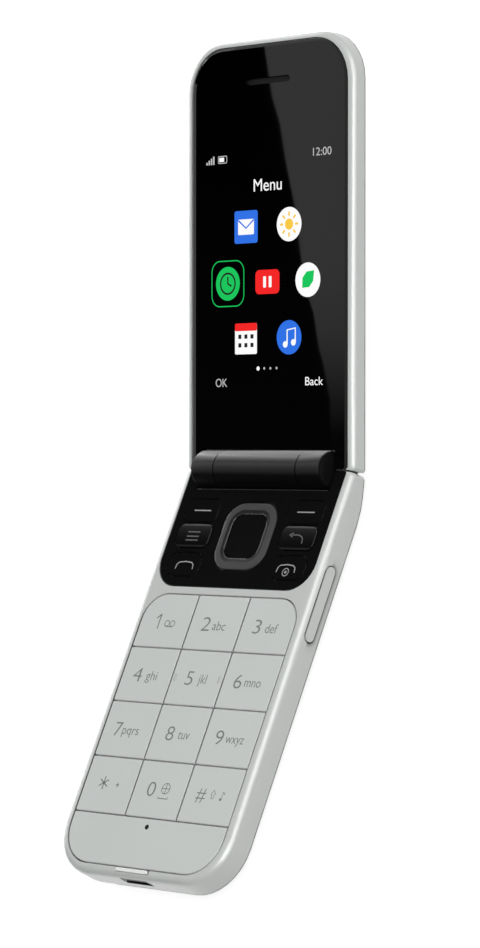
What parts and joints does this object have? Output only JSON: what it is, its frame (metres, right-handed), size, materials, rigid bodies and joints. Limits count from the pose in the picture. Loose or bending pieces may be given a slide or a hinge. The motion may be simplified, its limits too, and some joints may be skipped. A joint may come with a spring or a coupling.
{
  "type": "flip phone",
  "caption": "Folding mobile phone, open: silver keypad half with black control panel and a raised display half on a barrel hinge.",
  "frame": {"origin": "on the flat back of the keypad half, on its centre line, midway between its socket end and the hinge line", "axes": "+X to the right across the keys, +Y along the keypad half towards the hinge, +Z out of the keys, up when the phone lies on its back"},
  "size_m": [0.055, 0.1922, 0.0542],
  "materials": {
    "silver_shell": "satin silver paint on moulded plastic",
    "key_silver": "fine satin silver paint on moulded keys",
    "gloss_black": "polished black plastic",
    "ring_grey": "dark grey semi-gloss plastic with a bright inner edge",
    "black_glass": "clear pane printed black behind",
    "display_panel": "liquid crystal panel in a thin frame",
    "inner_plastic": "dark moulded plastic",
    "steel": "plain stamped or turned steel",
    "circuit_board": "green solder mask on fibreglass",
    "battery_pack": "foil pack in a printed sleeve",
    "flash_lens": "clear moulded lens"
  },
  "bodies": {
    "keypad_half": {"front_cover": "silver_shell", "chin_panel": "key_silver", "control_panel": "gloss_black", "hinge_knuckle_left": "gloss_black", "hinge_knuckle_right": "gloss_black", "keypad_web": "inner_plastic", "rear_chassis": "inner_plastic", "loudspeaker": "inner_plastic", "microphone": "inner_plastic", "headset_socket": "inner_plastic", "dome_sheet": "steel", "card_holder": "steel", "vibration_motor": "steel", "usb_socket": "steel", "casing_screw_left": "steel", "casing_screw_right": "steel", "hinge_head": "steel", "pivot_tube": "steel", "main_board": "circuit_board", "battery": "battery_pack"},
    "display_half": {"display_frame": "silver_shell", "display_glass": "black_glass", "display_module": "display_panel", "earpiece": "inner_plastic", "display_board": "circuit_board", "closing_magnet": "steel", "display_back_cover": "silver_shell", "outer_window": "black_glass", "outer_display": "display_panel", "camera_module": "inner_plastic", "camera_glass": "black_glass", "flash_lens": "flash_lens", "hinge_knuckle_centre": "gloss_black", "hinge_cartridge": "steel"},
    "key_1": {"key_1": "key_silver"},
    "key_2": {"key_2": "key_silver"},
    "key_3": {"key_3": "key_silver"},
    "key_4": {"key_4": "key_silver"},
    "key_5": {"key_5": "key_silver"},
    "key_6": {"key_6": "key_silver"},
    "key_7": {"key_7": "key_silver"},
    "key_8": {"key_8": "key_silver"},
    "key_9": {"key_9": "key_silver"},
    "key_star": {"key_star": "key_silver"},
    "key_0": {"key_0": "key_silver"},
    "key_hash": {"key_hash": "key_silver"},
    "left_soft_key": {"left_soft_key": "gloss_black"},
    "right_soft_key": {"right_soft_key": "gloss_black"},
    "menu_key": {"menu_key": "gloss_black"},
    "back_key": {"back_key": "gloss_black"},
    "call_key": {"call_key": "gloss_black"},
    "end_key": {"end_key": "gloss_black"},
    "select_key": {"select_key": "gloss_black"},
    "navigation_rocker": {"navigation_rocker": "inner_plastic"},
    "navigation_ring": {"navigation_ring": "ring_grey"},
    "volume_key": {"volume_key": "silver_shell"},
    "side_key": {"side_key": "silver_shell"},
    "battery_door": {"battery_door": "silver_shell"}
  },
  "joints": [
    {"name": "display_hinge", "type": "hinge", "parent": "keypad_half", "child": "display_half", "pos_m": [0, 0.05015, 0.0115], "axis": [1, 0, 0], "range_deg": [0, 154.3]},
    {"name": "key_1_press", "type": "slide", "parent": "keypad_half", "child": "key_1", "axis": [0, 0, -1], "range_m": [0, 0.00025], "stiffness_N_per_m": 800, "springref_m": -0.0001},
    {"name": "key_2_press", "type": "slide", "parent": "keypad_half", "child": "key_2", "axis": [0, 0, -1], "range_m": [0, 0.00025], "stiffness_N_per_m": 800, "springref_m": -0.0001},
    {"name": "key_3_press", "type": "slide", "parent": "keypad_half", "child": "key_3", "axis": [0, 0, -1], "range_m": [0, 0.00025], "stiffness_N_per_m": 800, "springref_m": -0.0001},
    {"name": "key_4_press", "type": "slide", "parent": "keypad_half", "child": "key_4", "axis": [0, 0, -1], "range_m": [0, 0.00025], "stiffness_N_per_m": 800, "springref_m": -0.0001},
    {"name": "key_5_press", "type": "slide", "parent": "keypad_half", "child": "key_5", "axis": [0, 0, -1], "range_m": [0, 0.00025], "stiffness_N_per_m": 800, "springref_m": -0.0001},
    {"name": "key_6_press", "type": "slide", "parent": "keypad_half", "child": "key_6", "axis": [0, 0, -1], "range_m": [0, 0.00025], "stiffness_N_per_m": 800, "springref_m": -0.0001},
    {"name": "key_7_press", "type": "slide", "parent": "keypad_half", "child": "key_7", "axis": [0, 0, -1], "range_m": [0, 0.00025], "stiffness_N_per_m": 800, "springref_m": -0.0001},
    {"name": "key_8_press", "type": "slide", "parent": "keypad_half", "child": "key_8", "axis": [0, 0, -1], "range_m": [0, 0.00025], "stiffness_N_per_m": 800, "springref_m": -0.0001},
    {"name": "key_9_press", "type": "slide", "parent": "keypad_half", "child": "key_9", "axis": [0, 0, -1], "range_m": [0, 0.00025], "stiffness_N_per_m": 800, "springref_m": -0.0001},
    {"name": "key_star_press", "type": "slide", "parent": "keypad_half", "child": "key_star", "axis": [0, 0, -1], "range_m": [0, 0.00025], "stiffness_N_per_m": 800, "springref_m": -0.0001},
    {"name": "key_0_press", "type": "slide", "parent": "keypad_half", "child": "key_0", "axis": [0, 0, -1], "range_m": [0, 0.00025], "stiffness_N_per_m": 800, "springref_m": -0.0001},
    {"name": "key_hash_press", "type": "slide", "parent": "keypad_half", "child": "key_hash", "axis": [0, 0, -1], "range_m": [0, 0.00025], "stiffness_N_per_m": 800, "springref_m": -0.0001},
    {"name": "left_soft_key_press", "type": "slide", "parent": "keypad_half", "child": "left_soft_key", "axis": [0, 0, -1], "range_m": [0, 0.00025], "stiffness_N_per_m": 800, "springref_m": -0.0001},
    {"name": "right_soft_key_press", "type": "slide", "parent": "keypad_half", "child": "right_soft_key", "axis": [0, 0, -1], "range_m": [0, 0.00025], "stiffness_N_per_m": 800, "springref_m": -0.0001},
    {"name": "menu_key_press", "type": "slide", "parent": "keypad_half", "child": "menu_key", "axis": [0, 0, -1], "range_m": [0, 0.00025], "stiffness_N_per_m": 800, "springref_m": -0.0001},
    {"name": "back_key_press", "type": "slide", "parent": "keypad_half", "child": "back_key", "axis": [0, 0, -1], "range_m": [0, 0.00025], "stiffness_N_per_m": 800, "springref_m": -0.0001},
    {"name": "call_key_press", "type": "slide", "parent": "keypad_half", "child": "call_key", "axis": [0, 0, -1], "range_m": [0, 0.00025], "stiffness_N_per_m": 800, "springref_m": -0.0001},
    {"name": "end_key_press", "type": "slide", "parent": "keypad_half", "child": "end_key", "axis": [0, 0, -1], "range_m": [0, 0.00025], "stiffness_N_per_m": 800, "springref_m": -0.0001},
    {"name": "select_key_press", "type": "slide", "parent": "keypad_half", "child": "select_key", "axis": [0, 0, -1], "range_m": [0, 0.00025], "stiffness_N_per_m": 800, "springref_m": -0.0001},
    {"name": "navigation_sideways", "type": "hinge", "parent": "keypad_half", "child": "navigation_rocker", "pos_m": [0, 0.03345, 0.0094], "axis": [0, 1, 0], "range_deg": [-1.2, 1.2], "stiffness_Nm_per_rad": 0.5},
    {"name": "navigation_lengthways", "type": "hinge", "parent": "navigation_rocker", "child": "navigation_ring", "pos_m": [0, 0.03345, 0.0094], "axis": [1, 0, 0], "range_deg": [-1.2, 1.2], "stiffness_Nm_per_rad": 0.5},
    {"name": "volume_rock", "type": "hinge", "parent": "keypad_half", "child": "volume_key", "pos_m": [0.0263, 0.01865, 0.0081], "axis": [0, 0, 1], "range_deg": [-1, 1], "stiffness_Nm_per_rad": 0.5},
    {"name": "side_key_press", "type": "slide", "parent": "keypad_half", "child": "side_key", "axis": [1, 0, 0], "range_m": [0, 0.00025], "stiffness_N_per_m": 800, "springref_m": -0.0001},
    {"name": "battery_door_release", "type": "slide", "parent": "keypad_half", "child": "battery_door", "axis": [0, 0, -1], "range_m": [0, 0.02]}
  ]
}
